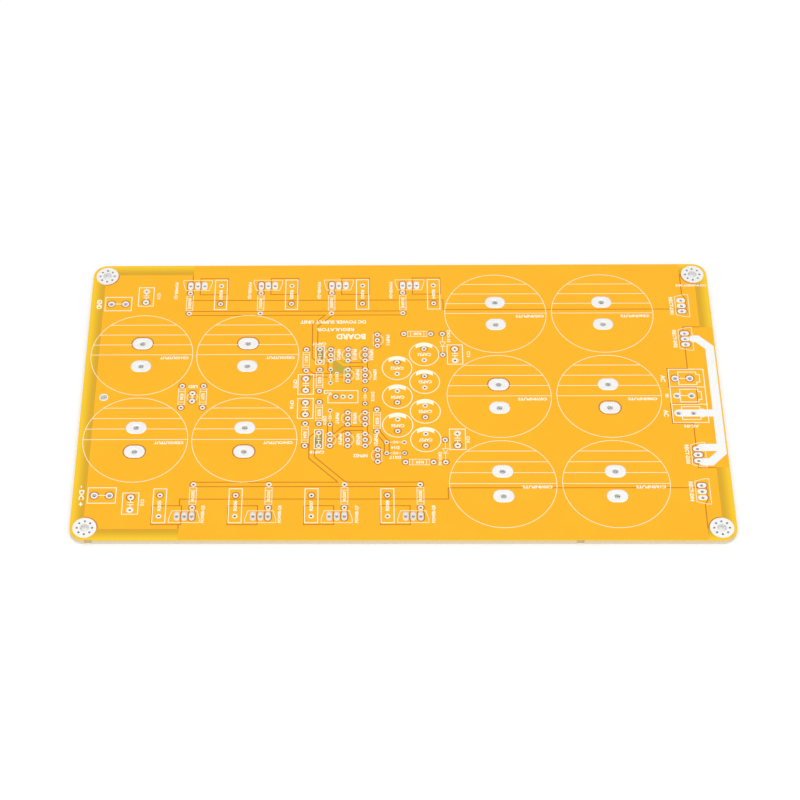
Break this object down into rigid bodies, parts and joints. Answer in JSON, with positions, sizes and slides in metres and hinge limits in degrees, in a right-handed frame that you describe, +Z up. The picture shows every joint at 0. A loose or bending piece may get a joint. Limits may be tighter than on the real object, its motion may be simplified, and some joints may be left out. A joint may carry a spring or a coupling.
{
  "type": "power supply circuit board",
  "caption": "Bare double-sided power supply circuit board with a yellow solder mask, tinned plated holes, white printed part outlines and a bare tinned AC bus.",
  "frame": {"origin": "centre of the board's footprint, at the underside of the mounting lands", "axes": "+X along the long side towards the AC terminal, +Y towards the positive rail's edge, +Z up out of the component side"},
  "size_m": [0.22, 0.12, 0.0021],
  "materials": {
    "laminate": "satin glass-epoxy",
    "copper": "bare foil under the mask",
    "mask": "semi-gloss film",
    "tin": "bright tinned",
    "ink": "matt print"
  },
  "bodies": {
    "root": {"laminate": "laminate", "positive_rail": "copper", "negative_rail": "copper", "ground_pour": "copper", "ac_pour": "copper", "gate_tracks": "copper", "source_links": "copper", "signal_tracks": "copper", "underside_pour": "copper", "top_mask": "mask", "underside_mask": "mask", "ac_bus": "tin", "mounting_lands": "tin", "reservoir_pads": "tin", "power_transistor_pads": "tin", "gate_resistor_pads": "tin", "source_resistor_pads": "tin", "rectifier_pads": "tin", "ac_terminal_pads": "tin", "dc_terminal_pads": "tin", "earth_pad": "tin", "film_cap_pads": "tin", "small_cap_pads": "tin", "electrolytic_pads": "tin", "small_transistor_pads": "tin", "resistor_pads": "tin", "diode_pads": "tin", "signal_diode_pads": "tin", "trimmer_pads": "tin", "led_pads": "tin", "reservoir_legend": "ink", "power_transistor_legend": "ink", "source_resistor_legend": "ink", "rectifier_legend": "ink", "ac_terminal_legend": "ink", "dc_terminal_legend": "ink", "film_cap_legend": "ink", "small_cap_legend": "ink", "electrolytic_legend": "ink", "small_transistor_legend": "ink", "resistor_legend": "ink", "diode_legend": "ink", "trimmer_legend": "ink", "led_legend": "ink"}
  },
  "joints": []
}
